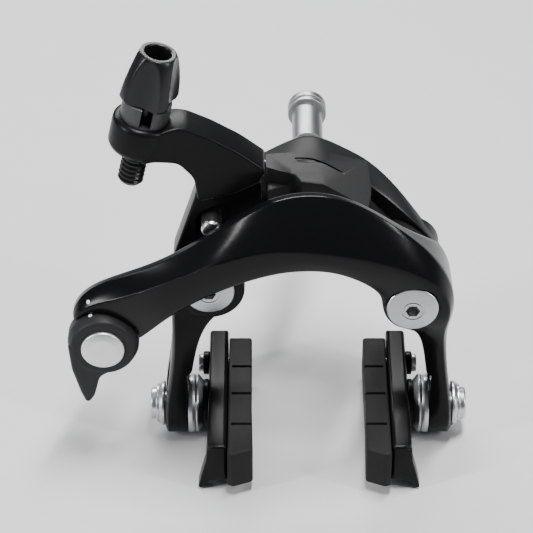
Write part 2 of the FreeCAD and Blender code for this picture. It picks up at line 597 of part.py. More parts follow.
save("bracket", bracket())
save("mounting_bolt", mounting_bolt())
save("mounting_washer", mounting_washer())
save("recessed_nut", recessed_nut())
save("left_pivot_bolt", pivot_bolt(-PIVOT_X, REAR_HUB_Y))
save("right_pivot_bolt", pivot_bolt(PIVOT_X, FRONT_HUB_Y))
save("left_pivot_bushing", pivot_bushing(-PIVOT_X, REAR_HUB_Y))
save("right_pivot_bushing", pivot_bushing(PIVOT_X, FRONT_HUB_Y))
save("left_thrust_washer", thrust_washer(-PIVOT_X))
save("right_thrust_washer", thrust_washer(PIVOT_X))
save("left_return_spring", return_spring(-1))
save("right_return_spring", return_spring(1))
save("centering_screw", centering_screw())
save("front_arm", front_arm())
save("adjuster_arm", adjuster_arm())
save("equalizer_roller", equalizer_roller())
save("adjuster_sleeve", adjuster_sleeve())
save("adjuster_barrel", adjuster_barrel())
save("adjuster_knob", adjuster_knob())
save("release_lever", release_lever())
save("anchor_cap", anchor_cap())
save("cam_shaft", cam_shaft())
save("cable_clamp_plate", cable_clamp_plate())
save("cable_clamp_bolt", cable_clamp_bolt())

left_shoe_parts = {
    "shoe_bolt": shoe_bolt(),
    "outer_washer": shoe_ring(5.6, -LIMB_OUT_X, -37.4),
    "inner_washer": shoe_ring(7.4, -28.2, -LIMB_IN_X),
    "cone_washer": cone_washer(),
    "pad_holder": pad_holder(),
    "pad": pad(),
    "pad_screw": pad_screw(),
    "spring_slider": spring_slider(),
}
for part_name, left_shape in left_shoe_parts.items():
    save("left_" + part_name, left_shape)
    save("right_" + part_name, mirrored(left_shape))
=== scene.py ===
import math
import bpy
import bmesh
from mathutils import Matrix, Vector


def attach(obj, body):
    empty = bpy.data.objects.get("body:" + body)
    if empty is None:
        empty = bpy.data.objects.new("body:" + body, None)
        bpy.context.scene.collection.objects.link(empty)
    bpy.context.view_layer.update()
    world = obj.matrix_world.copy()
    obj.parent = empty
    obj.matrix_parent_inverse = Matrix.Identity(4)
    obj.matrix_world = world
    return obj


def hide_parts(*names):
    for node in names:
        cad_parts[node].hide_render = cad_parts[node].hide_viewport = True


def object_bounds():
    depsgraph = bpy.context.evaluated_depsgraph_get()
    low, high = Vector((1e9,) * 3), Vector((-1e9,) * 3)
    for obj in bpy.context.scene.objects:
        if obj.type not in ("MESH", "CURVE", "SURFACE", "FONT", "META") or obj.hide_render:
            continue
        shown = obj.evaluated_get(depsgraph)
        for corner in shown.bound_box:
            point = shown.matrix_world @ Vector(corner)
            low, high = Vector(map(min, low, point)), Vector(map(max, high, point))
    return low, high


# Sizes are in millimetres, in the frame's axes. A piece's mesh becomes metres when it is dressed.
MM = 0.001

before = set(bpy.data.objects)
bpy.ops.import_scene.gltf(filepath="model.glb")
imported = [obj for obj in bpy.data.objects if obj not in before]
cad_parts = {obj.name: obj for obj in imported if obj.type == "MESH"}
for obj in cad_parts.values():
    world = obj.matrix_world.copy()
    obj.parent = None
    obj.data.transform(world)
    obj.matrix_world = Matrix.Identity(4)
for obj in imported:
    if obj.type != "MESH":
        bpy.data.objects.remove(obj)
cad_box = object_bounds()

PIVOT_X = 24.3
PIVOT_Z = -8.7
FRONT_HUB_Y = -43.0
REAR_HUB_Y = -36.5
HUB_BACK_Y = -26.0
ANCHOR = (-49.7, -19.1)
SHOE_Y = -31.0
SHOE_Z = -49.0
SLOT_HALF = 3.15
SLOT_TRAVEL = 10.0
# A bevel too small to see, for the cutters whose edges stay sharp.
SHARP = 0.001
PAD_SLOT_YS = (-23.6, -34.1, -45.6)
BARREL_FOOT = Vector((-42.6, -30.0, 19.3))
BARREL_AXIS = Vector((0.2131, 0.0, 0.9770)).normalized()


# ---- mesh tools -------------------------------------------------------------------------------

def new_object(name, mesh):
    """Link a mesh to the scene as an object."""
    obj = bpy.data.objects.new(name, mesh)
    bpy.context.scene.collection.objects.link(obj)
    return obj


def from_bmesh(name, bm, smooth_angle=35.0):
    """Finish a bmesh as an object with smooth faces and sharp edges."""
    bmesh.ops.recalc_face_normals(bm, faces=bm.faces)
    if bm.calc_volume(signed=True) < 0:
        bmesh.ops.reverse_faces(bm, faces=bm.faces)
    mesh = bpy.data.meshes.new(name)
    bm.to_mesh(mesh)
    bm.free()
    obj = new_object(name, mesh)
    shade(obj, smooth_angle)
    return obj


def shade(obj, smooth_angle=35.0):
    """Smooth faces, with edges sharper than an angle kept sharp."""
    mesh = obj.data
    mesh.polygons.foreach_set("use_smooth", [True] * len(mesh.polygons))
    mesh.set_sharp_from_angle(angle=math.radians(smooth_angle))


def smoothing():
    """A modifier's node group that smooths faces and keeps sharp edges, and leaves the mesh itself alone."""
    group = bpy.data.node_groups.new("smooth_by_angle", "GeometryNodeTree")
    for way in ("INPUT", "OUTPUT"):
        group.interface.new_socket("Geometry", in_out=way, socket_type="NodeSocketGeometry")
    nodes, links = group.nodes, group.links
    faces = nodes.new("GeometryNodeSetShadeSmooth")
    edges = nodes.new("GeometryNodeSetShadeSmooth")
    edges.domain = "EDGE"
    flat = nodes.new("FunctionNodeCompare")
    flat.operation = "LESS_THAN"
    flat.inputs["B"].default_value = math.radians(30.0)
    angle = nodes.new("GeometryNodeInputMeshEdgeAngle")
    links.new(angle.outputs["Unsigned Angle"], flat.inputs["A"])
    links.new(flat.outputs["Result"], edges.inputs["Shade Smooth"])
    links.new(nodes.new("NodeGroupInput").outputs["Geometry"], faces.inputs["Geometry"])
    links.new(faces.outputs["Geometry"], edges.inputs["Geometry"])
    links.new(edges.outputs["Geometry"], nodes.new("NodeGroupOutput").inputs["Geometry"])
    return group


def bake(obj):
    """Apply every modifier."""
    graph = bpy.context.evaluated_depsgraph_get()
    graph.update()
    mesh = bpy.data.meshes.new_from_object(obj.evaluated_get(graph))
    obj.modifiers.clear()
    obj.data = mesh
    return obj


def join_solid(obj, others, operation="UNION", smooth_angle=35.0):
    """Add other solids to one, or cut them out of it, and delete them."""
    for other in others:
        boolean = obj.modifiers.new("solid", "BOOLEAN")
        boolean.operation = operation
        boolean.solver = "MANIFOLD"
        boolean.object = other
        bake(obj)
        bpy.data.objects.remove(other)
    shade(obj, smooth_angle)
    return obj


def cut(obj, others, smooth_angle=35.0):
    """Cut solids out of an object."""
    return join_solid(obj, others, "DIFFERENCE", smooth_angle)


def rounded(points, radius, closed=True, steps=5):
    """Round the corners of a 2D outline with arcs. A point may carry its own radius as a third value."""
    result = []
    count = len(points)
    for i, point in enumerate(points):
        here = Vector(point[:2])
        size = point[2] if len(point) > 2 else radius
        if size <= 0 or (not closed and i in (0, count - 1)):
            result.append(tuple(here))
            continue
        back = Vector(points[i - 1][:2]) - here
        ahead = Vector(points[(i + 1) % count][:2]) - here
        angle = back.angle(ahead)
        if angle > math.radians(178):
            result.append(tuple(here))
            continue
        reach = min(size / math.tan(angle / 2), back.length * 0.48, ahead.length * 0.48)
        size = reach * math.tan(angle / 2)
        start = here + back.normalized() * reach
        end = here + ahead.normalized() * reach
        centre = here + (back.normalized() + ahead.normalized()).normalized() * (size / math.sin(angle / 2))
        first, last = start - centre, end - centre
        turn = first.angle_signed(last)
        for step in range(steps + 1):
            spin = Matrix.Rotation(-turn * step / steps, 2)
            result.append(tuple(centre + spin @ first))
    return result


def prism(name, outline, low, high, bevel=0.4, plane="XZ", holes=(), segments=3, smooth_angle=35.0):
    """An outline drawn out between two heights, with its edges rounded by a bevel."""
    curve = bpy.data.curves.new(name, "CURVE")
    curve.dimensions = "2D"
    curve.fill_mode = "BOTH"
    for loop in [outline, *holes]:
        spline = curve.splines.new("POLY")
        spline.points.add(len(loop) - 1)
        for point, (a, b) in zip(spline.points, loop):
            point.co = (a, b, 0.0, 1.0)
        spline.use_cyclic_u = True
    curve.extrude = (high - low) / 2 - bevel
    curve.bevel_depth = bevel
    curve.offset = -bevel
    curve.bevel_resolution = segments
    middle = (low + high) / 2
    place = {
        "XZ": Matrix(((1, 0, 0, 0), (0, 0, -1, middle), (0, 1, 0, 0), (0, 0, 0, 1))),
        "XY": Matrix.Translation((0, 0, middle)),
        "YZ": Matrix(((0, 0, 1, middle), (1, 0, 0, 0), (0, 1, 0, 0), (0, 0, 0, 1))),
    }[plane]
    holder = bpy.data.objects.new(name, curve)
    bpy.context.scene.collection.objects.link(holder)
    mesh = bpy.data.meshes.new_from_object(holder.evaluated_get(bpy.context.evaluated_depsgraph_get()))
    bpy.data.objects.remove(holder)
    bm = bmesh.new()
    bm.from_mesh(mesh)
    bmesh.ops.remove_doubles(bm, verts=bm.verts, dist=0.0005)
    bmesh.ops.transform(bm, matrix=place, verts=bm.verts)
    return from_bmesh(name, bm, smooth_angle)


def axis_frame(base, axis):
    """The matrix that puts Z along an axis and the origin at a base point."""
    return Matrix.Translation(base) @ Vector(axis).to_track_quat("Z", "Y").to_matrix().to_4x4()


def lathe(name, profile, base, axis, steps=72, radius_at=None, smooth_angle=35.0):
    """Turn a profile of (radius, height) about an axis. radius_at may reshape each ring by angle."""
    bm = bmesh.new()
    rings = []
    for radius, height in profile:
        if radius < 1e-4:
            rings.append([bm.verts.new((0, 0, height))])
            continue
        ring = []
        for step in range(steps):
            turn = math.tau * step / steps
            r = radius_at(radius, height, turn) if radius_at else radius
            ring.append(bm.verts.new((r * math.cos(turn), r * math.sin(turn), height)))
        rings.append(ring)
    closed = len(rings[0]) > 1
    pairs = list(zip(rings, rings[1:])) + ([(rings[-1], rings[0])] if closed else [])
    for low, high in pairs:
        for i in range(steps):
            j = (i + 1) % steps
            corners = [low[i % len(low)], low[j % len(low)], high[j % len(high)], high[i % len(high)]]
            bm.faces.new(list(dict.fromkeys(corners)))
    bmesh.ops.transform(bm, matrix=axis_frame(base, axis), verts=bm.verts)
    return from_bmesh(name, bm, smooth_angle)


def rod(name, radius, low, high, x=0.0, z=0.0, steps=64):
    """A plain rod along Y, for cutting holes."""
    return lathe(name, [(0, low), (radius, low), (radius, high), (0, high)], (x, 0, z), (0, 1, 0), steps)


def sweep(name, sections, creases, levels=3, smooth_angle=60.0):
    """A smooth skin over sections of equally many points. creases gives each lengthwise edge's sharpness."""
    bm = bmesh.new()
    layer = bm.edges.layers.float.new("crease_edge")
    rings = [[bm.verts.new(point) for point in section] for section in sections]
    count = len(rings[0])
    for near, far in zip(rings, rings[1:]):
        for i in range(count):
            j = (i + 1) % count
            bm.faces.new((near[i], near[j], far[j], far[i]))
    bm.faces.new(rings[0])
    bm.faces.new(list(reversed(rings[-1])))
    bm.edges.ensure_lookup_table()
    for k, (near, far) in enumerate(zip(rings, rings[1:])):
        share = k / max(1, len(rings) - 2)
        for i in range(count):
            value = creases[i]
            edge = bm.edges.get((near[i], far[i]))
            edge[layer] = value(share) if callable(value) else value
    obj = from_bmesh(name, bm, smooth_angle)
    smooth = obj.modifiers.new("smooth", "SUBSURF")
    smooth.levels = levels
    smooth.render_levels = levels
    bake(obj)
    shade(obj, smooth_angle)
    return obj


# ---- materials --------------------------------------------------------------------------------

def material(name, colour, metallic, roughness, spread=0.05, grain=900.0, bump=0.02, coat=0.0,
             coat_roughness=0.05, tint=0.25, stretch=(1, 1, 1), specular=0.5):
    """A surface whose colour and roughness vary with fine grain and slow cloudy patches."""
    mat = bpy.data.materials.new(name)
    mat.use_nodes = True
    nodes, links = mat.node_tree.nodes, mat.node_tree.links
    shader = nodes["Principled BSDF"]
    shader.inputs["Metallic"].default_value = metallic
    shader.inputs["Coat Weight"].default_value = coat
    shader.inputs["Coat Roughness"].default_value = coat_roughness
    shader.inputs["Specular IOR Level"].default_value = specular
    place = nodes.new("ShaderNodeTexCoord")
    scale = nodes.new("ShaderNodeMapping")
    scale.inputs["Scale"].default_value = stretch
    links.new(place.outputs["Object"], scale.inputs["Vector"])
    fine = nodes.new("ShaderNodeTexNoise")
    fine.inputs["Scale"].default_value = grain
    fine.inputs["Detail"].default_value = 4.0
    cloud = nodes.new("ShaderNodeTexNoise")
    cloud.inputs["Scale"].default_value = 55.0
    cloud.inputs["Detail"].default_value = 3.0
    links.new(scale.outputs["Vector"], fine.inputs["Vector"])
    links.new(place.outputs["Object"], cloud.inputs["Vector"])
    rough = nodes.new("ShaderNodeMapRange")
    rough.inputs["To Min"].default_value = max(0.02, roughness - spread)
    rough.inputs["To Max"].default_value = roughness + spread
    links.new(fine.outputs["Fac"], rough.inputs["Value"])
    links.new(rough.outputs["Result"], shader.inputs["Roughness"])
    paint = nodes.new("ShaderNodeMix")
    paint.data_type = "RGBA"
    paint.inputs["A"].default_value = (*[c * (1 - tint) for c in colour], 1)
    paint.inputs["B"].default_value = (*[min(1.0, c * (1 + tint)) for c in colour], 1)
    links.new(cloud.outputs["Fac"], paint.inputs["Factor"])
    links.new(paint.outputs["Result"], shader.inputs["Base Color"])
    lift = nodes.new("ShaderNodeBump")
    lift.inputs["Strength"].default_value = bump
    lift.inputs["Distance"].default_value = 0.0002
    links.new(fine.outputs["Fac"], lift.inputs["Height"])
    links.new(lift.outputs["Normal"], shader.inputs["Normal"])
    return mat


def turned_metal(name, colour, roughness, centre, axis="Y", pitch=4200.0, brushed=0.0):
    """Bright metal with fine rings about an axis, as a lathe tool leaves."""
    mat = material(name, colour, 1.0, roughness, spread=0.015, grain=2500.0, bump=0.02)
    nodes, links = mat.node_tree.nodes, mat.node_tree.links
    shader = nodes["Principled BSDF"]
    place = nodes.new("ShaderNodeTexCoord")
    shift = nodes.new("ShaderNodeMapping")
    shift.inputs["Location"].default_value = [-c * MM for c in centre]
    flatten = {"X": (0, 1, 1), "Y": (1, 0, 1), "Z": (1, 1, 0)}[axis]
    squash = nodes.new("ShaderNodeVectorMath")
    squash.operation = "MULTIPLY"
    squash.inputs[1].default_value = flatten
    length = nodes.new("ShaderNodeVectorMath")
    length.operation = "LENGTH"
    rings = nodes.new("ShaderNodeTexNoise")
    rings.noise_dimensions = "1D"
    rings.inputs["Scale"].default_value = pitch
    rings.inputs["Detail"].default_value = 2.0
    lift = nodes.new("ShaderNodeBump")
    lift.inputs["Strength"].default_value = 0.06
    lift.inputs["Distance"].default_value = 0.00005
    links.new(place.outputs["Object"], shift.inputs["Vector"])
    links.new(shift.outputs["Vector"], squash.inputs[0])
    links.new(squash.outputs["Vector"], length.inputs[0])
    links.new(length.outputs["Value"], rings.inputs["W"])
    links.new(rings.outputs["Fac"], lift.inputs["Height"])
    links.new(lift.outputs["Normal"], shader.inputs["Normal"])
    if brushed:
        around = nodes.new("ShaderNodeTangent")
        around.direction_type = "RADIAL"
        around.axis = axis
        shader.inputs["Anisotropic"].default_value = brushed
        links.new(around.outputs["Tangent"], shader.inputs["Tangent"])
    return mat


gloss_black = material("gloss_black", (0.0035, 0.0035, 0.004), 0.0, 0.2, 0.03, 500, 0.01, tint=0.1,
                       specular=0.13)
satin_black = material("satin_black", (0.0045, 0.0045, 0.005), 0.0, 0.33, 0.04, 1400, 0.04, tint=0.15,
                       specular=0.11)
bracket_black = material("bracket_black", (0.010, 0.010, 0.0105), 0.0, 0.42, 0.05, 1600, 0.06, tint=0.15,
                         specular=0.16)
lever_grey = material("lever_grey", (0.014, 0.014, 0.015), 0.0, 0.5, 0.05, 2200, 0.1, tint=0.15, specular=0.2)
knob_black = material("anodised_black", (0.012, 0.012, 0.013), 0.5, 0.3, 0.05, 1800, 0.04, tint=0.15)
sleeve_grey = material("sleeve_grey", (0.028, 0.028, 0.03), 0.0, 0.4, 0.05, 1500, 0.05)
pad_rubber = material("pad_rubber", (0.012, 0.012, 0.012), 0.0, 0.62, 0.08, 1500, 0.25, tint=0.2,
                      specular=0.15)
steel = material("bright_steel", (0.62, 0.62, 0.63), 1.0, 0.28, 0.015, 1500, 0.01, tint=0.06)
zinc = material("zinc_steel", (0.60, 0.60, 0.61), 1.0, 0.36, 0.02, 1800, 0.02, tint=0.08)
bronze = material("bronze", (0.62, 0.42, 0.22), 1.0, 0.35, 0.06, 1500, 0.04, tint=0.1)
wire = material("spring_wire", (0.35, 0.35, 0.37), 1.0, 0.3, 0.06, 1800, 0.04, tint=0.08)
cap_silver = material("cap_silver", (0.72, 0.72, 0.72), 1.0, 0.42, 0.04, 1800, 0.03, tint=0.04)
nylon = material("nylon", (0.008, 0.008, 0.009), 0.0, 0.5, 0.06, 1500, 0.1, specular=0.3)
white_dot = material("index_white", (0.8, 0.8, 0.8), 0.0, 0.5, 0.05, 1500, 0.05, tint=0.03)


def dress(obj, mat, body, replaces=()):
    """Scale a piece to metres, give it its material and its body, and hide the CAD nodes it stands for."""
    obj.data.transform(Matrix.Scale(MM, 4))
    obj.data.materials.clear()
    obj.data.materials.append(mat)
    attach(obj, body)
    if replaces:
        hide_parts(*replaces)
    return obj


# ---- front arm --------------------------------------------------------------------------------

# Sections of the arch, from the cable end, over the top, round the right pivot and down the limb:
# X and Z of the top edge, the crease and the lower edge, then Y of the top edge, crease and back.
ARM_SECTIONS = (
    ((-57.8, -14.0), (-57.2, -14.6), (-54.0, -20.5), -40.6, -42.4, -38.0),
    ((-55.6, -8.2), (-54.9, -9.8), (-49.0, -22.5), -40.2, -42.9, -37.6),
    ((-51.4, -4.6), (-50.4, -7.4), (-43.4, -21.0), -40.2, -43.8, -37.6),
    ((-45.6, -1.6), (-44.0, -4.0), (-38.6, -15.6), -40.6, -45.8, -38.2),
    ((-38.4, 1.6), (-36.6, 1.2), (-33.6, -9.0), -41.5, -48.0, -38.7),
    ((-30.4, 6.0), (-28.2, 5.0), (-26.0, -3.8), -41.5, -48.0, -38.7),
    ((-22.4, 12.4), (-20.6, 8.5), (-18.8, 0.0), -41.5, -48.0, -38.7),
    ((-14.4, 18.4), (-13.2, 10.7), (-12.0, 2.7), -41.5, -48.0, -38.7),
    ((-7.6, 21.9), (-7.0, 11.4), (-6.0, 4.3), -41.5, -48.0, -38.7),
    ((-0.6, 23.1), (-0.6, 10.9), (0.0, 4.7), -41.5, -48.0, -38.7),
    ((7.0, 22.0), (5.8, 10.1), (5.2, 4.2), -41.5, -48.0, -38.7),
    ((14.4, 18.0), (12.0, 8.5), (10.0, 2.1), -41.5, -47.6, -38.7),
    ((21.6, 12.2), (18.8, 5.4), (14.2, -1.1), -41.3, -46.6, -38.0),
    ((27.6, 6.0), (25.2, 1.8), (16.8, -4.8), -40.6, -45.4, -33.5),
    ((32.0, -0.4), (30.2, -2.6), (17.0, -9.0), -39.6, -44.2, -27.0),
    ((34.6, -7.4), (33.2, -8.2), (17.8, -13.0), -39.2, -43.4, -26.0),
    ((34.7, -13.4), (33.4, -13.2), (21.0, -17.0), -38.8, -42.6, -26.0),
    ((33.5, -18.8), (32.4, -18.6), (25.4, -18.8), -37.6, -40.4, -25.6),
    ((33.3, -24.6), (32.4, -24.6), (27.6, -24.0), -36.6, -38.5, -24.3),
    ((34.2, -34.7), (33.4, -34.7), (28.9, -34.4), -36.6, -38.5, -23.5),
    ((35.6, -44.0), (34.8, -44.0), (30.0, -44.0), -36.6, -38.5, -23.5),
)
FOOT_STEPS = (0.0, 2.6, 4.9, 6.6, 7.4)
FOOT_R = 7.5


def arm_ring(top, crease, lower, top_y, crease_y, back_y):
    """The eight points of one section of the front arm."""
    t = Vector((top[0], top_y, top[1]))
    c = Vector((crease[0], crease_y, crease[1]))
    low = Vector((lower[0], crease_y + 1.4, lower[1]))
    back_t = Vector((top[0] - 0.2, back_y, top[1] - 0.8))
    back_l = Vector((lower[0], back_y, lower[1] - 0.3))
    face = (t + c) / 2 + Vector((0, -0.35, 0.25))
    band = (c + low) / 2 + Vector((0, -0.35, -0.1))
    return [back_t, t, face, c, band, low, back_l, (back_t + back_l) / 2]


def foot_rings(side):
    """Sections that round off the bottom of a limb about the shoe bolt."""
    rings = []
    for drop in FOOT_STEPS:
        half = math.sqrt(FOOT_R ** 2 - drop ** 2)
        z = SHOE_Z - drop
        front, back = SHOE_Y - half, SHOE_Y + half
        out_x, in_x = 35.9, 30.1
        middle = (out_x + in_x) / 2
        corner = min(1.9, half * 0.5)
        rings.append([Vector(p) for p in (
            (out_x - 0.1, back, z), (out_x, front + corner, z), (out_x - 0.3, front + corner * 0.5, z),
            (out_x - 0.9, front, z), (middle, front, z), (in_x, front + 0.3, z), (in_x, back, z),
            (middle, back, z))])
    return [[Vector((side * p.x, p.y, p.z)) for p in ring] for ring in rings]


def limb_cutters(side):
    """The slot for the shoe bolt, and the seat for its inner washer."""
    low, high = SHOE_Z, SHOE_Z + SLOT_TRAVEL
    outline = rounded([(SHOE_Y - SLOT_HALF, low - SLOT_HALF), (SHOE_Y + SLOT_HALF, low - SLOT_HALF),
                       (SHOE_Y + SLOT_HALF, high + SLOT_HALF), (SHOE_Y - SLOT_HALF, high + SLOT_HALF)],
                      SLOT_HALF, steps=10)
    start, end = sorted((side * 27.0, side * 40.0))
    seat_in, seat_out = sorted((side * 20.0, side * 30.1))
    seat = rounded([(SHOE_Y - 7.8, low - 12.0, 0), (SHOE_Y + 7.8, low - 12.0, 0),
                    (SHOE_Y + 7.8, high + 7.8), (SHOE_Y - 7.8, high + 7.8)], 7.8, steps=10)
    return [prism("slot", outline, start, end, SHARP, "YZ"),
            prism("seat", seat, seat_in, seat_out, SHARP, "YZ")]


def front_crease(share):
    """How sharp the front arm's crease is along its length: sharp at the cable end, softer past the pivot."""
    return 0.9 if share < 0.3 else max(0.35, 0.9 - (share - 0.3) * 3)


def make_front_arm():
    rings = [arm_ring(*section) for section in ARM_SECTIONS] + foot_rings(1)
    crease = [0.75, 0.62, 0.0, front_crease, 0.0, 0.8, 0.8, 0.0]
    arm = sweep("front_arm_body", rings, crease)
    cutters = [
        rod("pocket", 8.9, -60.0, -40.2, *ANCHOR, 96),
        rod("shaft", 3.05, -60.0, 0.0, *ANCHOR),
        rod("bush", 4.65, -60.0, 0.0, PIVOT_X, PIVOT_Z),
        rod("seat", 6.75, -60.0, FRONT_HUB_Y, PIVOT_X, PIVOT_Z),
        *limb_cutters(1),
    ]
    cut(arm, cutters, 40.0)
    dress(arm, gloss_black, "front_arm", ["front_arm"])
    make_dot("arm_index", -52.9, -42.4, arm, "front_arm")


def make_dot(name, x, y, surface, body):
    """A small painted index mark on the upward side of a piece."""
    scale = 1 / MM
    found, place, normal, _ = surface.ray_cast(Vector((x * MM, y * MM, 0.1)), Vector((0, 0, -1)))
    if not found:
        raise RuntimeError("no surface under " + name)
    profile = [(0, -0.25), (0.5, -0.25), (0.5, 0.03), (0.4, 0.07), (0, 0.08)]
    dot = lathe(name, profile, place * scale, normal, 24)
    dress(dot, white_dot, body)


def make_lever():
    x, z = ANCHOR
    hub_profile = rounded([(0, -46.3), (7.7, -46.1, 1.1), (8.6, -43.6, 1.2), (8.6, -40.4, 0.3), (0, -40.4)],
                          0.1, closed=False)
    hub = lathe("release_lever_body", hub_profile, (x, 0, z), (0, 1, 0), 96)
    tab = prism("tab", rounded([(-58.25, -18.6, 1), (-57.6, -26.0, 8), (-55.7, -33.2, 6), (-54.2, -37.2, 1.2),
                                (-52.3, -34.4, 4), (-50.8, -28.4, 3), (-45.0, -25.0, 3), (-49.7, -17.0, 0)],
                               1.0), -46.0, -43.4, 1.1)
    join_solid(hub, [tab], smooth_angle=45.0)
    cut(hub, [rod("cap_seat", 5.45, -60.0, -45.1, x, z), rod("bore", 3.0, -60.0, 0.0, x, z)], 45.0)
    dress(hub, lever_grey, "release_lever", ["release_lever"])
    make_dot("lever_index", -52.5, -43.4, hub, "release_lever")
    cap_profile = rounded([(0, -47.55), (3.4, -47.4, 3), (5.25, -46.9, 0.5), (5.25, -45.1, 0.2), (0, -45.1)],
                          0.2, closed=False)
    cap = lathe("anchor_cap_dome", cap_profile, (x, 0, z), (0, 1, 0), 96)
    dress(cap, cap_silver, "release_lever", ["anchor_cap"])


# ---- adjuster arm -----------------------------------------------------------------------------

LIMB_SECTIONS = (
    ((-32.8, -6.0), (-31.6, -6.0), (-17.5, -10.0), -34.8, -36.4, -26.0),
    ((-33.4, -12.0), (-32.4, -12.0), (-18.6, -14.4), -34.8, -36.4, -26.0),
    ((-33.5, -17.6), (-32.6, -17.6), (-24.2, -18.2), -35.2, -37.0, -25.6),
    ((-33.4, -25.0), (-32.5, -25.0), (-27.2, -24.0), -36.6, -38.5, -24.3),
    ((-34.2, -34.7), (-33.4, -34.7), (-28.9, -34.4), -36.6, -38.5, -23.5),
    ((-35.6, -44.0), (-34.8, -44.0), (-30.0, -44.0), -36.6, -38.5, -23.5),
)


def swell(plate):
    """Bring the front of the arm's upper plate forward until it meets the front of the barrel's boss."""
    bm = bmesh.new()
    bm.from_mesh(plate.data)
    for step in range(9):
        bmesh.ops.bisect_plane(bm, geom=[*bm.verts, *bm.edges, *bm.faces],
                               plane_co=(-43.0 + 1.8 * step, 0, 0), plane_no=(1, 0, 0))
    for vert in bm.verts:
        share = min(1.0, max(0.0, (-27.5 - vert.co.x) / 13.5))
        if vert.co.y < -30.0:
            vert.co.y -= 3.0 * share * share * (3 - 2 * share)
    bm.to_mesh(plate.data)
    bm.free()


def make_adjuster_arm():
    upper = prism("adjuster_arm_body", rounded(
        [(-39.6, 27.9, 1), (-36.6, 28.2, 6), (-31.0, 26.6, 5), (-27.4, 22.0, 5), (-26.6, 15.4, 1.2),
         (-18.0, 17.6, 12), (-12.2, 20.8, 2.0), (-10.4, 24.4, 1.8), (-16.6, 29.4, 20), (-23.5, 33.6, 20),
         (-30.5, 36.9, 8), (-37.0, 35.6, 8), (-39.2, 36.4, 1)], 1.0, steps=8), -34.0, -25.4, 0.7)
    lower = prism("lower", rounded(
        [(-26.4, 23.0, 1), (-27.4, 16.0, 8), (-29.6, 9.0, 14), (-32.8, -1.2, 8), (-33.0, -11.0, 3),
         (-16.5, -9.0, 3), (-14.4, 3.0, 6), (-11.6, 13.0, 4), (-11.6, 21.0, 2)], 1.0), -33.0, -26.0, 0.6)
    hub_profile = rounded([(0, REAR_HUB_Y), (8.6, REAR_HUB_Y, 0.6), (8.8, HUB_BACK_Y, 0.3), (0, HUB_BACK_Y)],
                          0.3, closed=False)
    hub = lathe("hub", hub_profile, (-PIVOT_X, 0, PIVOT_Z), (0, 1, 0), 80)
    limb = sweep("limb", [arm_ring(*s) for s in LIMB_SECTIONS] + foot_rings(-1),
                 [0.75, 0.6, 0.0, 0.6, 0.0, 0.8, 0.8, 0.0])
    boss = lathe("boss", rounded([(0, 9.8), (6.6, 9.8, 0.8), (7.2, 11.0, 1.2), (7.2, 18.3, 1.4), (0, 18.3)],
                                 0.5, closed=False), BARREL_FOOT, BARREL_AXIS, 80)
    swell(upper)
    join_solid(upper, [lower, hub, limb, boss])
    pocket = prism("pocket", rounded(
        [(-27.4, 5.0, 1), (-27.2, 11.4, 3.6), (-23.4, 13.4, 4), (-12.4, 17.8, 1), (-10.0, 10.0, 1),
         (-15.0, 3.0, 1)],
        1.0), -40.0, -30.0, 0.2)
    cutters = [
        pocket,
        rod("seat", 6.75, -60.0, REAR_HUB_Y, -PIVOT_X, PIVOT_Z),
        rod("bush", 4.65, -60.0, 0.0, -PIVOT_X, PIVOT_Z),
        lathe("thread", [(0, 0), (3.2, 0), (3.2, 30), (0, 30)], BARREL_FOOT, BARREL_AXIS),
        lathe("sleeve_seat", [(0, 15.3), (5.8, 15.3), (5.8, 30), (0, 30)], BARREL_FOOT, BARREL_AXIS),
        *limb_cutters(-1),
    ]
    cut(upper, cutters)
    dress(upper, satin_black, "adjuster_arm", ["adjuster_arm"])
    roller_profile = rounded([(0, -37.4), (2.0, -37.2, 0.4), (2.4, -36.6, 0.3), (2.4, -30.0, 0.1),
                              (0, -30.0)], 0.2, closed=False)
    roller = lathe("roller_face", roller_profile, (-23.5, 0, 9.5), (0, 1, 0), 48)
    dress(roller, steel, "adjuster_arm", ["equalizer_roller"])


def make_barrel():
    pitch = 1.25
    profile = [(1.3, 0.0), (2.5, 0.0)]
    for turn in range(15):
        base = 0.35 + turn * pitch
        profile += [(2.62, base), (3.06, base + 0.42), (3.06, base + 0.62), (2.62, base + 1.04)]
    profile += [(2.6, 23.0), (1.3, 23.0)]
    barrel = lathe("adjuster_barrel_thread", profile, BARREL_FOOT, BARREL_AXIS, 48, smooth_angle=30)
    dress(barrel, knob_black, "adjuster_barrel", ["adjuster_barrel"])


KNOB_LOW, KNOB_TOP = 23.5, 36.1


SCOOP_R = 9.0
FACET_TURN = math.radians(-17)
FACET_ANGLE = math.atan2(*reversed((axis_frame((0, 0, 0), BARREL_AXIS).inverted()
                                    @ Vector((math.sin(FACET_TURN), -math.cos(FACET_TURN), 0.0)))[:2]))


def knob_radius(radius, height, turn):
    """Scoop four hollow faces out of the knob's sides, which fade out towards its top."""
    if radius < 3.9:
        return radius
    share = (height - KNOB_LOW) / (KNOB_TOP - KNOB_LOW)
    reach = SCOOP_R + 5.0 - 0.75 * share
    off = (turn - FACET_ANGLE + math.pi / 4) % (math.pi / 2) - math.pi / 4
    across = reach * math.sin(off)
    if abs(across) > SCOOP_R * 0.95:
        return radius
    scoop = reach * math.cos(off) - math.sqrt(SCOOP_R ** 2 - across ** 2)
    edge = 0.12
    blend = max(0.0, edge - abs(radius - scoop)) / edge
    return min(radius, scoop) - blend * blend * edge / 4


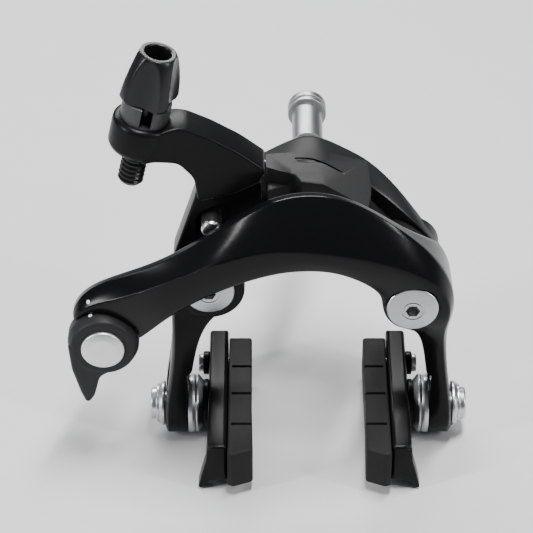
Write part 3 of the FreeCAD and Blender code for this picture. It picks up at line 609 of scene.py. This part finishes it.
def make_knob():
    outline = [(1.4, KNOB_LOW), (6.7, KNOB_LOW, 0.4), (7.2, KNOB_LOW + 0.8, 0.5)]
    for step in range(14):
        share = 0.12 + 0.062 * step
        outline.append((7.25 - 2.75 * share ** 1.8, KNOB_LOW + share * (KNOB_TOP - KNOB_LOW), 0))
    outline += [(4.3, KNOB_TOP, 0.45), (3.05, KNOB_TOP, 0.35), (3.05, KNOB_TOP - 8.0, 0.1),
                (1.4, KNOB_TOP - 8.0, 0.1)]
    knob = lathe("adjuster_knob_grip", rounded(outline, 0.3, steps=4), BARREL_FOOT, BARREL_AXIS, 180,
                 knob_radius, 30)
    dress(knob, knob_black, "adjuster_knob", ["adjuster_knob"])
    sleeve = lathe("adjuster_sleeve_turned", rounded(
        [(3.2, 15.3), (5.75, 15.3, 0.1), (5.75, 23.2, 0.35), (3.2, 23.2, 0.2)], 0.1),
        BARREL_FOOT, BARREL_AXIS, 96)
    mouth = prism("mouth", [(-1.35, 18.4), (1.35, 18.4), (1.35, 25.0), (-1.35, 25.0)], -10.0, 0.0, 0.01)
    lean = Matrix.Rotation(math.atan2(BARREL_AXIS.x, BARREL_AXIS.z), 4, "Y")
    mouth.data.transform(Matrix.Translation(BARREL_FOOT) @ lean @ Matrix.Rotation(math.radians(2), 4, "Z"))
    cut(sleeve, [mouth])
    dress(sleeve, sleeve_grey, "adjuster_arm", ["adjuster_sleeve"])


# ---- bracket ----------------------------------------------------------------------------------

# Sections of the arched band along the bracket's top, on the right of the middle: X, the Y and Z of
# its top edge in front and behind, and the Z of its underside in front and behind.
BAND_SECTIONS = (
    (0.0, -13.0, 12.4, -1.5, 12.8, -8.0, -8.0),
    (4.0, -13.0, 12.0, -1.5, 11.9, -8.0, -8.0),
    (9.0, -12.5, 9.6, -1.5, 8.9, -8.0, -8.0),
    (14.3, -12.0, 5.4, -3.3, 7.0, -8.0, -6.0),
    (20.4, -16.0, 2.4, -9.0, 4.2, -2.4, -1.2),
    (26.4, -22.5, 0.2, -15.0, -1.0, -4.0, -2.4),
    (30.5, -25.0, -3.4, -18.6, -5.2, -11.0, -9.5),
    (33.4, -25.0, -7.6, -20.4, -9.4, -16.0, -15.0),
    (34.2, -25.0, -12.0, -21.4, -13.0, -18.0, -17.0),
)

# Sections of the web under the band, from the middle to the pivot's ear: X, front and back Y, top and low Z
WEB_SECTIONS = (
    (-9.0, -13.0, -2.0, 5.0, -7.6),
    (-14.2, -16.0, -5.0, 2.0, -9.5),
    (-18.8, -21.5, -16.9, -2.0, -12.0),
    (-25.0, -25.0, -16.8, -4.0, -14.5),
    (-29.0, -25.0, -16.8, -7.0, -12.5),
)


def make_band():
    """The arch over the bracket, from one ear to the other."""
    rings = []
    mirror = [(-x, *rest) for x, *rest in reversed(BAND_SECTIONS[1:])]
    for x, front, front_top, back, back_top, front_low, back_low in [*mirror, *BAND_SECTIONS]:
        crown = (front_top + back_top) / 2 + 0.35
        rings.append([(x, front, front_low), (x, front, front_top), (x, (front + back) / 2, crown),
                      (x, back, back_top), (x, back, back_low),
                      (x, (front + back) / 2, (front_low + back_low) / 2)])
    return sweep("bracket_body", rings, [0.85, 0.8, 0.0, 0.85, 0.85, 0.0], 3, 45.0)


def make_web(side):
    """A web of the bracket, with the ear that holds a pivot bolt."""
    rings = []
    for x, front, back, top, low in WEB_SECTIONS:
        rings.append([(side * -x, front, low), (side * -x, front, top), (side * -x, back, top),
                      (side * -x, back, low)])
    web = sweep("web", rings, [0.85, 0.85, 0.85, 0.85], 2)
    ear_profile = rounded([(0, -25.2), (7.3, -25.2, 0.5), (7.6, -16.5, 0.5), (0, -16.5)], 0.3, closed=False)
    ear = lathe("ear", ear_profile,
                (side * PIVOT_X, 0, PIVOT_Z), (0, 1, 0), 72)
    return [web, ear]


def make_bracket():
    band = make_band()
    core = prism("core", rounded(
        [(-10.4, -8.0, 1), (-10.4, 6.6, 1), (0.0, 10.0, 14), (10.4, 6.6, 1), (10.4, -8.0, 1)], 1.0),
        -17.0, -1.6, 0.4)
    block = prism("block", rounded(
        [(-10.6, -8.0, 0.5), (-10.6, -13.4, 1.2), (-3.4, -18.2, 2.0), (-2.2, -20.8, 0.6), (3.2, -21.8, 8),
         (9.6, -25.2, 8), (13.6, -29.3, 0.7), (14.8, -20.0, 5), (14.4, -8.0, 0.5)], 0.6),
        -3.0, 12.0, 0.45, "XY")
    slope = prism("slope", [(-20.0, 8.2), (-12.0, 11.0), (-4.5, 12.0), (3.0, 12.0), (14.0, 9.2), (20.0, 7.4),
                            (20.0, 30.0), (-20.0, 30.0)], -40.0, -6.0, 0.01)
    cut(block, [slope])
    join_solid(band, [core, block, *make_web(-1), *make_web(1)])
    groove = prism("groove", [(-3.6, -10.6), (0.5, -11.4), (4.6, -12.8), (8.6, -15.2), (8.4, -15.8),
                              (4.2, -13.4), (0.3, -12.0), (-3.7, -11.1)], 10.6, 14.0, 0.01, "XY")
    cutters = [groove, rod("stud", 3.4, -40, 5), rod("head", 5.8, -30, -15)]
    cutters += [rod("bolt", 3.5, -40, 5, x, PIVOT_Z) for x in (-PIVOT_X, PIVOT_X)]
    cutters.append(lathe("screw", [(0, 7.0), (2.4, 7.0), (2.4, 20), (0, 20)], (-13, -9.0, 0), (0, 0, 1)))
    cutters.append(lathe("screw", [(0, -1.5), (1.5, -1.5), (1.5, 20), (0, 20)], (-13, -9.0, 0), (0, 0, 1)))
    cut(band, cutters, 38.0)
    dress(band, bracket_black, "bracket", ["bracket"])


def make_nut():
    profile = rounded([(3.05, 12.0), (3.9, 12.0, 0.2), (3.9, 26.0, 0.0), (4.95, 26.0, 0.25),
                       (4.95, 27.2, 0.25),
                       (4.45, 27.3, 0.1), (4.45, 27.9, 0.1), (4.95, 28.0, 0.25), (4.95, 30.0, 0.4),
                       (2.9, 30.0, 0.2), (2.9, 26.0, 0.1), (3.05, 24.0, 0.1)], 0.1)
    nut = lathe("recessed_nut_turned", profile, (0, 0, 0), (0, 1, 0), 72)
    dress(nut, turned_metal("nut_silver", (0.36, 0.36, 0.37), 0.4, (0, 0, 0), pitch=2500),
          "recessed_nut", ["recessed_nut"])


def make_pivot_head(name, x, hub_y, node):
    profile = rounded([(0, hub_y - 1.75), (2.9, hub_y - 1.7, 0.3), (5.9, hub_y - 1.05, 0.5),
                       (6.2, hub_y - 0.7, 0.3), (6.2, hub_y, 0.1), (3.5, hub_y, 0.1), (3.5, -12.5, 0.2),
                       (0, -12.5)], 0.2, closed=False)
    head = lathe(name, profile, (x, 0, PIVOT_Z), (0, 1, 0), 96)
    socket = lathe("socket", [(0, hub_y - 9), (1.75, hub_y - 9), (1.75, hub_y + 0.6), (0, hub_y + 0.6)],
                   (x, 0, PIVOT_Z), (0, 1, 0), 6)
    ring_profile = [(2.3, hub_y - 9), (2.6, hub_y - 9), (2.6, hub_y - 1.5), (2.3, hub_y - 1.5)]
    cut(head, [socket, lathe("ring", ring_profile, (x, 0, PIVOT_Z), (0, 1, 0), 64)])
    steel_face = turned_metal(name + "_steel", (0.46, 0.46, 0.47), 0.3, (x, 0, PIVOT_Z), pitch=5200,
                              brushed=0.85)
    dress(head, steel_face, "bracket", [node])


# ---- shoes ------------------------------------------------------------------------------------

def make_shoe(side, name):
    clamp, shoe = name + "_shoe_clamp", name + "_shoe"

    def flip(points):
        """Put outline points on this side."""
        return [(side * p[0], *p[1:]) for p in points]

    holder_outline = rounded(flip([(20.2, -54.6, 0.8), (25.0, -54.6, 2.4), (25.0, -38.0, 3),
                                   (25.0, -9.0, 0.8), (20.2, -9.0, 0.5)]), 0.5)
    holder = prism(name + "_holder_body", holder_outline, -54.0, -43.0, 0.9, "XY")
    extras = [
        prism("rail", rounded(flip([(18.9, -54), (20.6, -54), (20.6, -13), (18.9, -13)]), 0.1),
              -54, -53, 0.1, "XY"),
        lathe("pad", rounded([(0, 0), (6.0, 0, 0.3), (6.0, 1.3, 0.4), (0, 1.3)], 0.2, closed=False),
              (side * 25.0, SHOE_Y, SHOE_Z), (side, 0, 0)),
        lathe("boss", rounded([(0, 0), (3.0, 0, 0.3), (3.0, 1.6, 0.4), (0, 1.6)], 0.2, closed=False),
              (side * 25.0, -18.2, -46.6), (side, 0, 0), 40),
        prism("fin", rounded(flip([(22.6, -53.9, 0.4), (22.6, -44.6, 0.6), (25.0, -43.8, 0.8),
                                   (25.3, -48.0, 6), (26.4, -52.4, 6), (27.3, -56.4, 0.6),
                                   (26.2, -56.5, 0.5), (24.6, -54.3, 1.5)]),
                              0.4), -54.5, -50.5, 0.35),
    ]
    join_solid(holder, extras)
    bolt_hole = lathe("hole", [(0, -2), (3.1, -2), (3.1, 30), (0, 30)], (side * 22.0, SHOE_Y, SHOE_Z),
                      (side, 0, 0))
    cut(holder, [bolt_hole])
    dress(holder, satin_black, shoe, [name + "_pad_holder"])

    pad_outline = rounded(flip([(20.0, -56.4, 0.4), (18.6, -57.0, 1), (13.8, -55.0, 1.0), (14.2, -36.0, 40),
                                (14.2, -12.0, 0.8), (20.0, -12.0, 0.4)]), 0.5)
    block = prism(name + "_pad_block", pad_outline, -54.0, -43.3, 0.45, "XY")
    slots = []
    for y in PAD_SLOT_YS:
        groove = flip([(13, y - 0.45), (19.2, y - 0.45), (19.2, y + 0.45), (13, y + 0.45)])
        slots.append(prism("slot", rounded(groove, 0.1), -46.0, -40.0, 0.05, "XY"))
    rail_outline = rounded(flip([(18.8, -55), (21, -55), (21, -12), (18.8, -12)]), 0.1)
    rail_seat = prism("seat", rail_outline, -56, -52.9, 0.1, "XY")
    cut(block, [*slots, rail_seat])
    dress(block, pad_rubber, shoe, [name + "_pad"])

    centre = (0, SHOE_Y, SHOE_Z)
    out = (side, 0, 0)
    bolt = lathe(name + "_bolt_turned", rounded(
        [(0, 22.0), (2.9, 22.0, 0.2), (2.9, 37.4, 0.0), (4.9, 37.4, 0.15), (4.9, 37.95, 0.15),
         (4.05, 38.05, 0.1), (4.0, 39.5, 0.5), (2.3, 39.5, 0.2), (2.3, 37.8, 0.1), (0, 37.8)],
        0.1, closed=False), centre, out, 72)
    bolt_steel = turned_metal(name + "_bolt_steel", (0.6, 0.6, 0.61), 0.3, centre, "X")
    dress(bolt, bolt_steel, clamp, [name + "_shoe_bolt"])
    washers = {
        "outer_washer": (
            clamp, [(3.0, 35.92), (5.6, 35.92, 0.3), (5.6, 36.6, 0.3), (5.1, 37.4, 0.2), (3.0, 37.4)]),
        "inner_washer": (
            clamp, [(3.0, 28.25), (7.2, 28.25, 0.4), (7.4, 29.0, 0.3), (7.4, 30.05, 0.3), (3.0, 30.05)]),
        "cone_washer": (
            shoe, [(3.1, 26.32), (5.8, 26.32, 0.3), (7.3, 27.6, 0.5), (7.3, 28.15, 0.2), (3.1, 28.15)]),
    }
    for washer, (body, profile) in washers.items():
        ring = lathe(name + "_" + washer + "_turned", rounded(profile, 0.1), centre, out, 72)
        dress(ring, turned_metal(name + washer + "_zinc", (0.56, 0.56, 0.57), 0.34, centre, "X", 3000),
              body, [name + "_" + washer])


# ---- floor, light and camera ------------------------------------------------------------------

def make_stage():
    floor = new_object("floor", bpy.data.meshes.new("floor"))
    bm = bmesh.new()
    bmesh.ops.create_grid(bm, x_segments=1, y_segments=1, size=3.0)
    bm.to_mesh(floor.data)
    bm.free()
    floor.location.z = cad_box[0][2] - 0.0003
    floor_grey = material("floor_grey", (0.55, 0.55, 0.56), 0.0, 0.7, 0.05, 80, 0.0, tint=0.02)
    floor.data.materials.append(floor_grey)


def area_light(name, place, target, size, power):
    """A soft rectangular light aimed at a point."""
    light = bpy.data.lights.new(name, "AREA")
    light.shape = "RECTANGLE"
    light.size, light.size_y = size
    light.energy = power
    obj = bpy.data.objects.new(name, light)
    bpy.context.scene.collection.objects.link(obj)
    obj.location = place
    obj.rotation_euler = (Vector(target) - Vector(place)).to_track_quat("-Z", "Y").to_euler()


def make_light():
    world = bpy.data.worlds.new("studio")
    bpy.context.scene.world = world
    world.use_nodes = True
    world.node_tree.nodes["Background"].inputs["Color"].default_value = (0.9, 0.93, 1.0, 1)
    world.node_tree.nodes["Background"].inputs["Strength"].default_value = 0.12
    middle = (0.0, -0.03, 0.0)
    area_light("key", (0.05, -0.05, 0.60), middle, (0.34, 0.05), 7.5)
    area_light("back", (-0.15, 0.45, 0.35), middle, (0.6, 0.05), 4.0)
    area_light("right", (0.50, -0.25, 0.30), middle, (0.03, 0.30), 2.0)
    area_light("left", (-0.50, -0.25, 0.25), middle, (0.03, 0.30), 2.4)


def make_camera():
    camera = bpy.data.objects.new("camera", bpy.data.cameras.new("camera"))
    bpy.context.scene.collection.objects.link(camera)
    camera.location = (-0.010475, -0.49029, 0.34665)
    camera.rotation_euler = (math.radians(52.5), 0, 0)
    camera.data.sensor_width = 36.0
    camera.data.lens = 162.1
    camera.data.clip_start = 0.01
    bpy.context.scene.camera = camera


make_camera()
make_stage()
make_light()
make_front_arm()
make_lever()
make_adjuster_arm()
make_barrel()
make_knob()
make_bracket()
make_nut()
make_pivot_head("left_pivot_head", -PIVOT_X, REAR_HUB_Y, "left_pivot_bolt")
make_pivot_head("right_pivot_head", PIVOT_X, FRONT_HUB_Y, "right_pivot_bolt")
make_shoe(-1, "left")
make_shoe(1, "right")

CARRIED = {
    "mounting_bolt": steel,
    "mounting_washer": zinc,
    "left_pivot_bushing": bronze,
    "right_pivot_bushing": bronze,
    "left_thrust_washer": nylon,
    "right_thrust_washer": nylon,
    "left_return_spring": wire,
    "right_return_spring": wire,
    "centering_screw": steel,
    "cam_shaft": steel,
    "cable_clamp_plate": zinc,
    "cable_clamp_bolt": steel,
    "left_pad_screw": steel,
    "right_pad_screw": steel,
    "left_spring_slider": nylon,
    "right_spring_slider": nylon,
}
smooth = smoothing()
for node_name, finish in CARRIED.items():
    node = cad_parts[node_name]
    node.data.materials.clear()
    node.data.materials.append(finish)
    node.modifiers.new("smooth", "NODES").node_group = smooth
